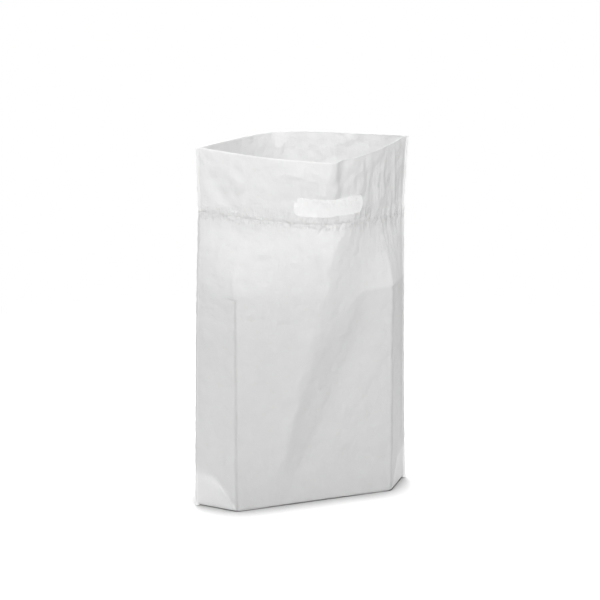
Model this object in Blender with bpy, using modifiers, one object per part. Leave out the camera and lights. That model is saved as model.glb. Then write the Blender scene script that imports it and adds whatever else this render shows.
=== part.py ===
"""A white polythene carrier bag, standing open on its bottom gusset.

The bag is one web of film. It is folded in at the bottom to make the gusset, turned over inwards at
the top to make a doubled hem, welded down both sides, and punched with a hand hole through both
panels. All lengths are in metres, +Z is up, -Y is the front, and the origin is the middle of the
floor that the opened gusset stands on.

Every point of a panel has a place (u, v) on the flat film: u runs from the left side weld to the
right one, and v from the bottom fold to the rim. The fold functions turn that place into a point of
the standing bag, so each crease is written where it lies on the flat film.
"""

import math

import bmesh
import bpy
import numpy as np

# The flat film
FLAT_WIDTH = 0.326
FLAT_HEIGHT = 0.455
GUSSET_LEAF = 0.041
SIDE_WELD = 0.003
WELD_OVERLAP = 0.0008
HEM_TURN = 0.0007
FOLD_RISE = 0.0002
HEM_DEPTH = 0.078
HEM_RUN_OUT = 0.019
HEM_RUN_OUT_CURVE = 1.7
FILM = 0.0005

# The hand hole, measured on the flat film
HOLE_WIDTH = 0.104
HOLE_HEIGHT = 0.024
HOLE_CORNER = 0.0100
HOLE_TOP_DIP = 0.0012
HOLE_FOOT_BOW = 0.0012
HOLE_ABOVE_HEM = 0.0090
HOLE_SHIFT = 0.0110
PUNCH_LENGTH = 0.075
PUNCH_MIDDLE = 0.061

# The opened bag
CORNER_TO_WELD = 0.055
PACKED_HEIGHT = 0.270
DRAPE_SHARPNESS = 0.7
MIDDLE_CREASE = 0.0075
MOUTH_OPENING = 0.175
MOUTH_FRONT_SHARE = 0.48
FRONT_OPENING_CURVE = 1.3
BACK_OPENING_CURVE = 2.0
BACK_CREASE = -0.003
WAIST_PULLED_IN = 0.0266
MOUTH_PULLED_IN = 0.0240
SWAY_FOOT = -0.0015
SWAY_WAIST = -0.0020
SWAY_MOUTH = 0.001
SEAM_SAG = 0.003
FRONT_SAG = 0.018
BACK_SAG = 0.001
SAG_ROUNDNESS = 1.7
SAG_FROM = 0.14
SAG_BELOW_RIM = 0.04
RIM_CREASE_SOFTNESS = 0.009
HEM_CREASE_SOFTNESS = 0.032
HEM_CREASE_REACH = 0.035
RIDGE_SOFTNESS = 0.011
BACK_CREASE_SOFTNESS = 0.038
CORNER_SOFTNESS = 0.0025

# The long diagonal buckle across the front
RIDGE_FOOT = -0.048
RIDGE_SWING = 0.008
RIDGE_HEAD_HEIGHT = 0.330
VALLEY_FROM_RIDGE = 0.004
VALLEY_HEAD = 0.064
VALLEY_HEAD_HEIGHT = 0.235
VALLEY_CURVE = 0.85
VALLEY_SOFTNESS = 0.004
VALLEY_OPENING = 0.035

# The slack film gathered to the right of the hand hole
GATHER_FROM = 0.062
GATHER_PITCH = 0.0150
GATHER_RISE = 0.0012
GATHER_REACH = 0.040
GATHER_RUN_OUT = 0.010

# How finely the film is divided
COLUMN_STEP = 0.0105
GATHER_COLUMN_STEP = 0.0042
ROW_STEP = 0.0175
BACK_COARSER = 1.6
SAMPLES = 640

PANEL_WIDTH = FLAT_WIDTH - 2 * SIDE_WELD
HALF = PANEL_WIDTH / 2
CORNER = HALF - CORNER_TO_WELD
SEAM_FOOT = CORNER + math.sqrt(CORNER_TO_WELD**2 - GUSSET_LEAF**2)
SEAM_WAIST = HALF - WAIST_PULLED_IN
SEAM_MOUTH = HALF - MOUTH_PULLED_IN
MOUTH_FRONT = MOUTH_FRONT_SHARE * MOUTH_OPENING
MOUTH_BACK = MOUTH_OPENING - MOUTH_FRONT
HEM_LINE = FLAT_HEIGHT - HEM_DEPTH
LINING_INSET = FILM * math.sqrt(2.0)


def smooth(t):
    """An even step from 0 to 1 as t goes from 0 to 1."""
    t = np.clip(t, 0.0, 1.0)
    return t * t * (3.0 - 2.0 * t)


def hem_height(u, back):
    """Where the hem's weld lies on the flat film: it runs out lower towards the right-hand weld."""
    start = -HALF if back else MIDDLE_CREASE
    return HEM_LINE - HEM_RUN_OUT * np.clip((u - start) / (HALF - start), 0.0, 1.0) ** HEM_RUN_OUT_CURVE


def half_span(v):
    """Half the distance between the side welds: widest at the floor, with a waist at the hem."""
    low = SEAM_FOOT + (SEAM_WAIST - SEAM_FOOT) * v / HEM_LINE
    high = SEAM_WAIST + (SEAM_MOUTH - SEAM_WAIST) * (v - HEM_LINE) / HEM_DEPTH
    return np.where(v < HEM_LINE, low, high)


def sway(v):
    """How far the level v stands to the right of the floor's middle."""
    share = v / FLAT_HEIGHT
    return SWAY_FOOT + (SWAY_MOUTH - SWAY_FOOT) * share + 4.0 * SWAY_WAIST * share * (1.0 - share)


def openness(v):
    """0 where the panels stand square on the floor, 1 where they run straight to the side welds."""
    return smooth((v - PACKED_HEIGHT) / (HEM_LINE - PACKED_HEIGHT))


def draping(v):
    """As openness, but with a sharp start: on the right the front bends over the packed height."""
    share = np.clip((v - PACKED_HEIGHT) / (HEM_LINE - PACKED_HEIGHT), 0.0, 1.0)
    sharp = share * (2.0 - share)
    return openness(v) + DRAPE_SHARPNESS * (sharp - openness(v))


def section_knots(v, back):
    """The creases that the level v crosses: their places u, depths from the seams and softness."""
    mouth = MOUTH_BACK if back else MOUTH_FRONT
    curve = BACK_OPENING_CURVE if back else FRONT_OPENING_CURVE
    depth = GUSSET_LEAF + (mouth - GUSSET_LEAF) * (v / FLAT_HEIGHT) ** curve
    opened = openness(v)
    if back:
        middle = BACK_CREASE
        valley = middle + (CORNER - middle) * 0.5
        soft = BACK_CREASE_SOFTNESS
        valley_depth = None
    else:
        down = smooth(v / RIDGE_HEAD_HEIGHT)
        middle = RIDGE_FOOT + (MIDDLE_CREASE - RIDGE_FOOT) * down
        at_hem = math.exp(-(((v - HEM_LINE) / HEM_CREASE_REACH) ** 2))
        middle += RIDGE_SWING * at_hem
        rise = min(v / VALLEY_HEAD_HEIGHT, 1.0) ** VALLEY_CURVE
        valley = RIDGE_FOOT + VALLEY_FROM_RIDGE + (VALLEY_HEAD - RIDGE_FOOT) * rise
        soft = RIM_CREASE_SOFTNESS if v > HEM_LINE else RIDGE_SOFTNESS
        soft += (HEM_CREASE_SOFTNESS - soft) * at_hem
        valley_depth = GUSSET_LEAF
    left_line = depth * (HALF - CORNER) / (HALF + middle)
    right_line = depth * (HALF - CORNER) / (HALF - middle)
    left = GUSSET_LEAF + (left_line - GUSSET_LEAF) * opened
    right = GUSSET_LEAF + (right_line - GUSSET_LEAF) * (opened if back else draping(v))
    straight = depth + (right - depth) * (valley - middle) / (CORNER - middle)
    if valley_depth is None:
        at_valley = straight
    else:
        at_valley = valley_depth + (straight - valley_depth) * opened
    return [
        (-HALF, 0.0, 0.0),
        (-CORNER, left, CORNER_SOFTNESS),
        (middle, depth, soft),
        (valley, at_valley, VALLEY_SOFTNESS + VALLEY_OPENING * v),
        (CORNER, right, CORNER_SOFTNESS),
        (HALF, 0.0, 0.0),
    ]


def section(v, back):
    """The level v of one panel as a curve of the film's own length: arrays of u, x and depth."""
    knots = section_knots(v, back)
    u = np.linspace(-HALF, HALF, SAMPLES)
    angles = [
        math.asin(max(-0.95, min(0.95, (d1 - d0) / (u1 - u0))))
        for (u0, d0, _), (u1, d1, _) in zip(knots, knots[1:])
    ]
    angle = np.full(SAMPLES, angles[0])
    for (place, _, soft), before, after in zip(knots[1:-1], angles, angles[1:]):
        angle += (after - before) * smooth((u - place) / (2.0 * soft) + 0.5)
    step = u[1] - u[0]
    middle_angle = (angle[1:] + angle[:-1]) / 2.0
    x = np.concatenate([[0.0], np.cumsum(np.cos(middle_angle)) * step])
    depth = np.concatenate([[0.0], np.cumsum(np.sin(middle_angle)) * step])
    depth -= depth[-1] * np.linspace(0.0, 1.0, SAMPLES)
    x -= x[-1] / 2.0
    span = float(half_span(v))
    uniform = span / x[-1]
    held = CORNER * (1.0 - openness(v))
    corners = np.interp((-CORNER, CORNER), u, x)
    targets = corners * uniform * openness(v) + np.array((-held, held))
    places = (x[0], corners[0], corners[1], x[-1])
    x = np.interp(x, places, (sway(v) - span, targets[0], targets[1], sway(v) + span))
    return u, x, depth


def height(u, v, back):
    """The height of the film's place (u, v): the panels lean outwards and sag a little at the top."""
    middle = BACK_CREASE if back else MIDDLE_CREASE
    reach = np.where(u < middle, HALF + middle, HALF - middle)
    nearness = 1.0 - (np.abs(u - middle) / reach) ** SAG_ROUNDNESS
    sag = SEAM_SAG + ((BACK_SAG if back else FRONT_SAG) - SEAM_SAG) * nearness
    return v - sag * smooth((v - SAG_FROM) / (FLAT_HEIGHT - SAG_BELOW_RIM - SAG_FROM))


def gathers(u, v, back):
    """How far the slack film stands out in upright folds along the right of the front's hem."""
    if back:
        return 0.0 * u
    begun = smooth((u - GATHER_FROM) / GATHER_PITCH)
    held = smooth((HALF - u) / GATHER_RUN_OUT)
    along = np.exp(-(((v - HEM_LINE) / GATHER_REACH) ** 2))
    return GATHER_RISE * begun * held * along * np.sin(2.0 * math.pi * (u - GATHER_FROM) / GATHER_PITCH)


def folded(u, v, back):
    """The standing bag's point for the flat film's place (u, v)."""
    places, x, depth = section(v, back)
    y = np.interp(u, places, depth) + gathers(u, v, back)
    return (
        float(np.interp(u, places, x)),
        float(y if back else -y),
        float(height(u, v, back)),
    )


def stations(stops, step):
    """Even divisions of each stretch between the stops, none longer than the step."""
    found = [stops[0]]
    for start, end in zip(stops, stops[1:]):
        count = max(1, math.ceil((end - start) / step - 1e-6))
        found += [start + (end - start) * (i + 1) / count for i in range(count)]
    return found


def film_material():
    material = bpy.data.materials.new("white_film")
    material.use_nodes = True
    shader = material.node_tree.nodes["Principled BSDF"]
    shader.inputs["Base Color"].default_value = (0.84, 0.84, 0.84, 1.0)
    shader.inputs["Roughness"].default_value = 0.38
    shader.inputs["Metallic"].default_value = 0.0
    return material


def add_object(name, mesh, collection):
    made = bpy.data.objects.new(name, mesh)
    collection.objects.link(made)
    return made


def helper(made):
    """Marks a solid that is only welded to the bag or cut from it."""
    made.hide_render = True
    made.display_type = "WIRE"
    return made


def film_rows():
    """Rows of the flat film, as shares of the stretches below and above the hem's weld."""
    below = stations((0.0, GUSSET_LEAF, PACKED_HEIGHT, HEM_LINE - HEM_TURN), ROW_STEP)
    above = stations((HEM_LINE + HEM_TURN, FLAT_HEIGHT), ROW_STEP)
    return below, above


def row_height(row, u, back):
    """Moves a row with the hem's weld, so that one row stays just below it and one just above."""
    hem = float(hem_height(u, back))
    if row < HEM_LINE:
        return row * hem / HEM_LINE
    return FLAT_HEIGHT - (FLAT_HEIGHT - row) * (FLAT_HEIGHT - hem) / HEM_DEPTH


def panels_mesh():
    """Both panels as one open tube of film, with its outside facing out."""
    margin = CORNER_SOFTNESS
    front = stations(
        (-HALF, -CORNER - margin, -CORNER, -CORNER + margin, MIDDLE_CREASE, GATHER_FROM),
        COLUMN_STEP,
    )
    front += stations(
        (GATHER_FROM, CORNER - margin, CORNER, CORNER + margin, HALF),
        GATHER_COLUMN_STEP,
    )[1:]
    behind = stations(
        (-HALF, -CORNER - margin, -CORNER, -CORNER + margin, BACK_CREASE)
        + (CORNER - margin, CORNER, CORNER + margin, HALF),
        BACK_COARSER * COLUMN_STEP,
    )
    around = [(u, False) for u in front[:-1]] + [(u, True) for u in reversed(behind[1:])]
    below, above = film_rows()
    mesh = bpy.data.meshes.new("panels")
    work = bmesh.new()
    rings = []
    for row in below + above:
        ring = []
        for u, back in around:
            x, y, z = folded(u, row_height(row, u, back), back)
            ring.append(work.verts.new((x, y, max(z, FOLD_RISE))))
        rings.append(ring)
    for lower, upper in zip(rings, rings[1:]):
        for i in range(len(around)):
            j = (i + 1) % len(around)
            work.faces.new((lower[i], lower[j], upper[j], upper[i]))
    work.to_mesh(mesh)
    work.free()
    return mesh, len(around), len(below)


def build_panels(collection):
    """The two panels, with the turned-over hem as a second thickness on the inside."""
    mesh, around, below = panels_mesh()
    bag = add_object("carrier_bag", mesh, collection)
    doubled = bag.vertex_groups.new(name="turned_over")
    single = list(range(around * below))
    double = list(range(around * below, len(mesh.vertices)))
    doubled.add(single, 0.5, "REPLACE")
    doubled.add(double, 1.0, "REPLACE")
    wall = bag.modifiers.new("film", "SOLIDIFY")
    wall.thickness = 2 * FILM
    wall.vertex_group = doubled.name
    wall.offset = -1.0
    wall.use_even_offset = True
    return bag


def gusset_point(u, v, back):
    """A point of the gusset where it meets a panel: the floor ends in it, the linings lie against it."""
    x, y, z = folded(u, v, back)
    if abs(u) >= CORNER:
        inset = FILM / 2 if abs(u) == CORNER else LINING_INSET
        x -= inset if u > 0.0 else -inset
    if abs(u) <= CORNER:
        y += -FILM / 2 if back else FILM / 2
    return (x, y if abs(u) < HALF else 0.0, max(z, FILM / 2))


def build_gusset(collection):
    """The opened gusset: a floor, a sloping tuck at each end, and the leaf that lines each corner."""
    mesh = bpy.data.meshes.new("gusset")
    work = bmesh.new()
    straight = CORNER - CORNER_SOFTNESS
    across = (-CORNER, -straight, straight, CORNER)
    floor = {(u, back): work.verts.new(gusset_point(u, 0.0, back)) for u in across for back in (0, 1)}
    outline = [floor[u, 0] for u in across] + [floor[u, 1] for u in reversed(across)]
    work.faces.new(outline)
    out = stations((CORNER, CORNER + CORNER_SOFTNESS, HALF), COLUMN_STEP)
    for side in (-1, 1):
        foot, crest = {}, {}
        for u in out:
            v = GUSSET_LEAF * (u - CORNER) / (HALF - CORNER)
            for back in (0, 1):
                if u == CORNER:
                    foot[u, back] = crest[u, back] = floor[side * u, back]
                elif u == out[-1] and back:
                    foot[u, 1], crest[u, 1] = foot[u, 0], crest[u, 0]
                else:
                    foot[u, back] = work.verts.new(gusset_point(side * u, 0.0, back))
                    crest[u, back] = work.verts.new(gusset_point(side * u, v, back))
        for u, beyond in zip(out, out[1:]):
            tuck = (crest[u, 0], crest[beyond, 0], crest[beyond, 1], crest[u, 1])
            leaves = [(foot[u, b], foot[beyond, b], crest[beyond, b], crest[u, b]) for b in (0, 1)]
            for corners in (tuck, *leaves):
                work.faces.new(dict.fromkeys(corners))
    bmesh.ops.recalc_face_normals(work, faces=work.faces)
    work.to_mesh(mesh)
    work.free()
    gusset = helper(add_object("gusset", mesh, collection))
    leaf = gusset.modifiers.new("film", "SOLIDIFY")
    leaf.thickness = FILM
    leaf.offset = 0.0
    return gusset


def build_side_weld(side, collection):
    """The flat strip outside one side weld, where the panels are pressed together."""
    below, above = film_rows()
    mesh = bpy.data.meshes.new("side_weld")
    work = bmesh.new()
    rows = []
    for row in below + above:
        v = row_height(row, side * HALF, False)
        x, _, z = folded(side * HALF, v, False)
        z = max(z, FOLD_RISE)
        inner = work.verts.new((x - side * WELD_OVERLAP, 0.0, z))
        outer = work.verts.new((x + side * SIDE_WELD, 0.0, z))
        rows.append((inner, outer))
    for (a, b), (c, d) in zip(rows, rows[1:]):
        work.faces.new((a, b, d, c))
    work.to_mesh(mesh)
    work.free()
    weld = helper(add_object("side_weld_left" if side < 0 else "side_weld_right", mesh, collection))
    strip = weld.modifiers.new("both_films", "SOLIDIFY")
    strip.thickness = 2 * FILM
    strip.offset = 0.0
    return weld


def hole_outline():
    """The punched hand hole on the flat film: a long slot with round corners, bowed up at its ends."""
    half_width, half_height = HOLE_WIDTH / 2, HOLE_HEIGHT / 2
    corners = (
        (half_width - HOLE_CORNER, half_height - HOLE_CORNER, 0.0),
        (HOLE_CORNER - half_width, half_height - HOLE_CORNER, 90.0),
        (HOLE_CORNER - half_width, HOLE_CORNER - half_height, 180.0),
        (half_width - HOLE_CORNER, HOLE_CORNER - half_height, 270.0),
    )
    points = []
    for (cx, cy, start), (nx, ny, _) in zip(corners, corners[1:] + corners[:1]):
        for i in range(5):
            turn = math.radians(start + 22.5 * i)
            points.append((cx + HOLE_CORNER * math.cos(turn), cy + HOLE_CORNER * math.sin(turn)))
        if abs(nx - cx) > HOLE_HEIGHT:
            last_y = points[-1][1]
            points += [(cx + (nx - cx) * k / 6, last_y) for k in range(1, 6)]
    shaped = []
    for a, b in points:
        nearness_to_end = (a / half_width) ** 2
        bow = HOLE_TOP_DIP if b > 0.0 else -HOLE_FOOT_BOW
        shaped.append((a, b - bow * (1.0 - nearness_to_end)))
    return shaped


def build_hole_punch(back, collection):
    """A punch the shape of the hand hole, as it lies on the opened panel, that runs through the wall."""
    middle_height = HEM_LINE + HOLE_ABOVE_HEM + HOLE_HEIGHT / 2
    outline = [folded(HOLE_SHIFT + a, middle_height + b, back) for a, b in hole_outline()]
    curve = bpy.data.curves.new("hole_punch", "CURVE")
    curve.dimensions = "2D"
    curve.fill_mode = "BOTH"
    curve.extrude = PUNCH_LENGTH / 2
    spline = curve.splines.new("POLY")
    spline.points.add(len(outline) - 1)
    for point, (x, _, z) in zip(spline.points, outline):
        point.co = (x, z, 0.0, 1.0)
    spline.use_cyclic_u = True
    drawn = bpy.data.objects.new("hole_punch_outline", curve)
    collection.objects.link(drawn)
    drawn.rotation_euler = (math.radians(90.0), 0.0, 0.0)
    drawn.location = (0.0, PUNCH_MIDDLE if back else -PUNCH_MIDDLE, 0.0)
    bpy.context.view_layer.update()
    mesh = bpy.data.meshes.new_from_object(drawn.evaluated_get(bpy.context.evaluated_depsgraph_get()))
    work = bmesh.new()
    work.from_mesh(mesh)
    bmesh.ops.remove_doubles(work, verts=work.verts, dist=1e-6)
    bmesh.ops.recalc_face_normals(work, faces=work.faces)
    work.to_mesh(mesh)
    work.free()
    punch = helper(add_object("hole_punch_back" if back else "hole_punch_front", mesh, collection))
    punch.matrix_world = drawn.matrix_world.copy()
    bpy.data.objects.remove(drawn)
    return punch


def combine(bag, other, operation, solver="EXACT"):
    step = bag.modifiers.new(other.name, "BOOLEAN")
    step.operation = operation
    step.object = other
    step.solver = solver


def main():
    for old in list(bpy.data.objects):
        bpy.data.objects.remove(old, do_unlink=True)
    bag_parts = bpy.data.collections.new("gusseted_carrier_bag")
    helpers = bpy.data.collections.new("cutters")
    for collection in (bag_parts, helpers):
        bpy.context.scene.collection.children.link(collection)
    bag = build_panels(bag_parts)
    bag.data.materials.append(film_material())
    combine(bag, build_gusset(helpers), "UNION", "MANIFOLD")
    for side in (-1, 1):
        combine(bag, build_side_weld(side, helpers), "UNION", "MANIFOLD")
    for back in (False, True):
        combine(bag, build_hole_punch(back, helpers), "DIFFERENCE")
    bag.data.shade_smooth()
    bag.data.set_sharp_from_angle(angle=math.radians(35.0))


main()
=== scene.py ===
# %% [markdown]
# # A white polythene carrier bag, standing open
# The bag is one web of film. At the factory it is folded in at the bottom for the gusset, turned over
# inwards at the top for a doubled hem, welded down both sides and punched through with a hand hole.
# It could be modelled as a box with soft edges, but film keeps its own length and only bends along
# creases, so this lesson makes it as the factory does: flat first, then opened by folding.

# %% Load the packed model as a fixed frame
import math

import bpy
import numpy as np
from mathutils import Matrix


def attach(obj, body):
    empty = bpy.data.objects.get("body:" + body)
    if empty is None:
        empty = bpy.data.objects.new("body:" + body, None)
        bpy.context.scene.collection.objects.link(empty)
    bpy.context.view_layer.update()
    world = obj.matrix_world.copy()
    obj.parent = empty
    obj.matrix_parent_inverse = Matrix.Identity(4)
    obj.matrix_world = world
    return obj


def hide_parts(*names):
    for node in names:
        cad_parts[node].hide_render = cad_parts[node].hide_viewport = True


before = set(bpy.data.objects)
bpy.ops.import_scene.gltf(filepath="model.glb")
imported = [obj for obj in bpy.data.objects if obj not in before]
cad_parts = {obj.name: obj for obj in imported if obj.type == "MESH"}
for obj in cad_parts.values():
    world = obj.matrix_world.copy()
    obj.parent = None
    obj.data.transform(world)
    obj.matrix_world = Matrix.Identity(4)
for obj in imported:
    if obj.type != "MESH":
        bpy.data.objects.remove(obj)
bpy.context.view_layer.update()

# %% [markdown]
# ## The flat film and its folds
# The sizes are those of the flat bag, in metres. A place (u, v) on a panel runs across from the left
# side weld to the right one, and up from the bottom fold to the rim. Each crease is a place on the
# film with a depth from the line of the side welds, so the film opens with little stretch or squeeze.

# %% Sizes of the flat film
FLAT_WIDTH = 0.326
FLAT_HEIGHT = 0.455
GUSSET_LEAF = 0.041
SIDE_WELD = 0.003
HEM_DEPTH = 0.078
HEM_RUN_OUT = 0.019
HEM_RUN_OUT_CURVE = 1.7
FILM = 0.00025
HEM_AIR = 0.00015

HALF = FLAT_WIDTH / 2 - SIDE_WELD
HEM_LINE = FLAT_HEIGHT - HEM_DEPTH
print("panel between the welds:", round(2 * HALF, 4), "hem line at", round(HEM_LINE, 4))

# %% Sizes of the hand hole
HOLE_WIDTH = 0.104
HOLE_HEIGHT = 0.024
HOLE_CORNER = 0.0100
HOLE_EDGE_BOW = 0.0012
HOLE_ABOVE_HEM = 0.0090
HOLE_SHIFT = 0.0110
HOLE_MIDDLE = HEM_LINE + HOLE_ABOVE_HEM + HOLE_HEIGHT / 2
print("hand hole:", HOLE_WIDTH, "by", HOLE_HEIGHT, "with its middle at", round(HOLE_MIDDLE, 4))

# %% Where the side welds stand once the bag is open
CORNER_TO_WELD = 0.055
WAIST_PULLED_IN = 0.0266
MOUTH_PULLED_IN = 0.0240
SWAY_FOOT = -0.0015
SWAY_WAIST = -0.0020
SWAY_MOUTH = 0.001
CORNER = HALF - CORNER_TO_WELD
SEAM_FOOT = CORNER + math.sqrt(CORNER_TO_WELD**2 - GUSSET_LEAF**2)
SEAM_WAIST = HALF - WAIST_PULLED_IN
SEAM_MOUTH = HALF - MOUTH_PULLED_IN
print("floor", 2 * CORNER, "by", 2 * GUSSET_LEAF, "side weld stands out to", round(SEAM_FOOT, 4))

# %% How far the panels open and sag
PACKED_HEIGHT = 0.270
DRAPE_SHARPNESS = 0.7
MOUTH_OPENING = 0.175
MOUTH_FRONT_SHARE = 0.48
FRONT_OPENING_CURVE = 1.3
BACK_OPENING_CURVE = 2.0
SEAM_SAG = 0.003
FRONT_SAG = 0.018
BACK_SAG = 0.001
SAG_ROUNDNESS = 1.7
SAG_FROM = 0.14
SAG_BELOW_RIM = 0.04
MOUTH_FRONT = MOUTH_FRONT_SHARE * MOUTH_OPENING
MOUTH_BACK = MOUTH_OPENING - MOUTH_FRONT
print("the mouth opens", round(MOUTH_FRONT, 4), "to the front and", round(MOUTH_BACK, 4), "to the back")

# %% The creases and how softly the film turns at each
MIDDLE_CREASE = 0.0075
BACK_CREASE = -0.003
RIM_CREASE_SOFTNESS = 0.009
HEM_CREASE_SOFTNESS = 0.032
HEM_CREASE_REACH = 0.035
BACK_CREASE_SOFTNESS = 0.038
CORNER_SOFTNESS = 0.0025

RIDGE_FOOT = -0.048
RIDGE_SWING = 0.008
RIDGE_HEAD_HEIGHT = 0.330
RIDGE_SOFTNESS = 0.011
VALLEY_FROM_RIDGE = 0.004
VALLEY_HEAD = 0.064
VALLEY_HEAD_HEIGHT = 0.235
VALLEY_CURVE = 0.85
VALLEY_SOFTNESS = 0.004
VALLEY_OPENING = 0.035
print("the buckle's ridge starts", RIDGE_FOOT, "from the middle and meets the crease at", RIDGE_HEAD_HEIGHT)

# %% Steps, hem and side welds as functions of the film's coordinates
def smooth(t):
    """An even step from 0 to 1 as t goes from 0 to 1."""
    t = np.clip(t, 0.0, 1.0)
    return t * t * (3.0 - 2.0 * t)


def hem_height(u, back):
    """Where the hem's weld lies on the flat film: it runs out lower towards the right-hand weld."""
    start = -HALF if back else MIDDLE_CREASE
    return HEM_LINE - HEM_RUN_OUT * np.clip((u - start) / (HALF - start), 0.0, 1.0) ** HEM_RUN_OUT_CURVE


def half_span(v):
    """Half the distance between the side welds: widest at the floor, with a waist at the hem."""
    low = SEAM_FOOT + (SEAM_WAIST - SEAM_FOOT) * v / HEM_LINE
    high = SEAM_WAIST + (SEAM_MOUTH - SEAM_WAIST) * (v - HEM_LINE) / HEM_DEPTH
    return np.where(v < HEM_LINE, low, high)


def sway(v):
    """How far the level v stands to the right of the floor's middle."""
    share = v / FLAT_HEIGHT
    return SWAY_FOOT + (SWAY_MOUTH - SWAY_FOOT) * share + 4.0 * SWAY_WAIST * share * (1.0 - share)


print("half the span at the hem:", round(float(half_span(HEM_LINE)), 4))

# %% How open a level is
def openness(v):
    """0 where the panels stand square on the floor, 1 where they run straight to the side welds."""
    return smooth((v - PACKED_HEIGHT) / (HEM_LINE - PACKED_HEIGHT))


def draping(v):
    """As openness, but with a sharp start: on the right the front bends over the packed height."""
    share = np.clip((v - PACKED_HEIGHT) / (HEM_LINE - PACKED_HEIGHT), 0.0, 1.0)
    sharp = share * (2.0 - share)
    return openness(v) + DRAPE_SHARPNESS * (sharp - openness(v))


print("openness halfway up the slack film:", round(float(openness((PACKED_HEIGHT + HEM_LINE) / 2)), 3))

# %% The creases that one level crosses
def section_knots(v, back):
    """The creases that the level v crosses: their places u, depths from the seams and softness."""
    mouth = MOUTH_BACK if back else MOUTH_FRONT
    curve = BACK_OPENING_CURVE if back else FRONT_OPENING_CURVE
    depth = GUSSET_LEAF + (mouth - GUSSET_LEAF) * (v / FLAT_HEIGHT) ** curve
    opened = openness(v)
    if back:
        middle = BACK_CREASE
        valley = middle + (CORNER - middle) * 0.5
        soft = BACK_CREASE_SOFTNESS
        valley_depth = None
    else:
        down = smooth(v / RIDGE_HEAD_HEIGHT)
        middle = RIDGE_FOOT + (MIDDLE_CREASE - RIDGE_FOOT) * down
        at_hem = math.exp(-(((v - HEM_LINE) / HEM_CREASE_REACH) ** 2))
        middle += RIDGE_SWING * at_hem
        rise = min(v / VALLEY_HEAD_HEIGHT, 1.0) ** VALLEY_CURVE
        valley = RIDGE_FOOT + VALLEY_FROM_RIDGE + (VALLEY_HEAD - RIDGE_FOOT) * rise
        soft = RIM_CREASE_SOFTNESS if v > HEM_LINE else RIDGE_SOFTNESS
        soft += (HEM_CREASE_SOFTNESS - soft) * at_hem
        valley_depth = GUSSET_LEAF
    left_line = depth * (HALF - CORNER) / (HALF + middle)
    right_line = depth * (HALF - CORNER) / (HALF - middle)
    left = GUSSET_LEAF + (left_line - GUSSET_LEAF) * opened
    right = GUSSET_LEAF + (right_line - GUSSET_LEAF) * (opened if back else draping(v))
    straight = depth + (right - depth) * (valley - middle) / (CORNER - middle)
    if valley_depth is None:
        at_valley = straight
    else:
        at_valley = valley_depth + (straight - valley_depth) * opened
    return [
        (-HALF, 0.0, 0.0),
        (-CORNER, left, CORNER_SOFTNESS),
        (middle, depth, soft),
        (valley, at_valley, VALLEY_SOFTNESS + VALLEY_OPENING * v),
        (CORNER, right, CORNER_SOFTNESS),
        (HALF, 0.0, 0.0),
    ]


print("the front's creases at the hem:", [round(float(u), 3) for u, _, _ in section_knots(HEM_LINE, False)])

# %% [markdown]
# ## One level of a panel
# A level starts as a curve of the film's own length. Its direction is held between two creases and
# turns softly at each, and adding up small steps along that direction gives the curve. It is then drawn
# in sideways to its corners and side welds. That costs a percent or two of its length in the walls and
# up to six near the hem, and more than that in the narrow strips at the sides. A curve object with
# handles would look much the same, but nothing would show how far its length strays.

# %% A level, bent at its creases and drawn in to the side welds
SAMPLES = 640
STEEPEST = 0.95


def section(v, back):
    """The level v of one panel, drawn in to its side welds: arrays of u, x and depth."""
    knots = section_knots(v, back)
    u = np.linspace(-HALF, HALF, SAMPLES)
    angles = [
        math.asin(max(-STEEPEST, min(STEEPEST, (d1 - d0) / (u1 - u0))))
        for (u0, d0, _), (u1, d1, _) in zip(knots, knots[1:])
    ]
    angle = np.full(SAMPLES, angles[0])
    for (place, _, soft), before, after in zip(knots[1:-1], angles, angles[1:]):
        angle += (after - before) * smooth((u - place) / (2.0 * soft) + 0.5)
    step = u[1] - u[0]
    middle_angle = (angle[1:] + angle[:-1]) / 2.0
    x = np.concatenate([[0.0], np.cumsum(np.cos(middle_angle)) * step])
    depth = np.concatenate([[0.0], np.cumsum(np.sin(middle_angle)) * step])
    depth -= depth[-1] * np.linspace(0.0, 1.0, SAMPLES)
    x -= x[-1] / 2.0
    span = float(half_span(v))
    uniform = span / x[-1]
    held = CORNER * (1.0 - openness(v))
    corners = np.interp((-CORNER, CORNER), u, x)
    targets = corners * uniform * openness(v) + np.array((-held, held))
    places = (x[0], corners[0], corners[1], x[-1])
    x = np.interp(x, places, (sway(v) - span, targets[0], targets[1], sway(v) + span))
    return u, x, depth


def length_kept(v, back):
    """The length of the level v as a share of the flat film's width."""
    _, x, depth = section(v, back)
    return float(np.hypot(np.diff(x), np.diff(depth)).sum()) / (2 * HALF)


for level in (0.0, PACKED_HEIGHT, HEM_LINE, FLAT_HEIGHT):
    kept = (round(length_kept(level, back), 3) for back in (False, True))
    print("share of the flat width kept at", round(level, 3), "by front and back:", *kept)

# %% Height and gathers of a place on the film
GATHER_FROM = 0.062
GATHER_PITCH = 0.0150
GATHER_RISE = 0.0012
GATHER_REACH = 0.040
GATHER_RUN_OUT = 0.010


def height(u, v, back):
    """The height of the film's place (u, v): the panels lean outwards and sag a little at the top."""
    middle = BACK_CREASE if back else MIDDLE_CREASE
    reach = np.where(u < middle, HALF + middle, HALF - middle)
    nearness = 1.0 - (np.abs(u - middle) / reach) ** SAG_ROUNDNESS
    sag = SEAM_SAG + ((BACK_SAG if back else FRONT_SAG) - SEAM_SAG) * nearness
    return v - sag * smooth((v - SAG_FROM) / (FLAT_HEIGHT - SAG_BELOW_RIM - SAG_FROM))


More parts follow.
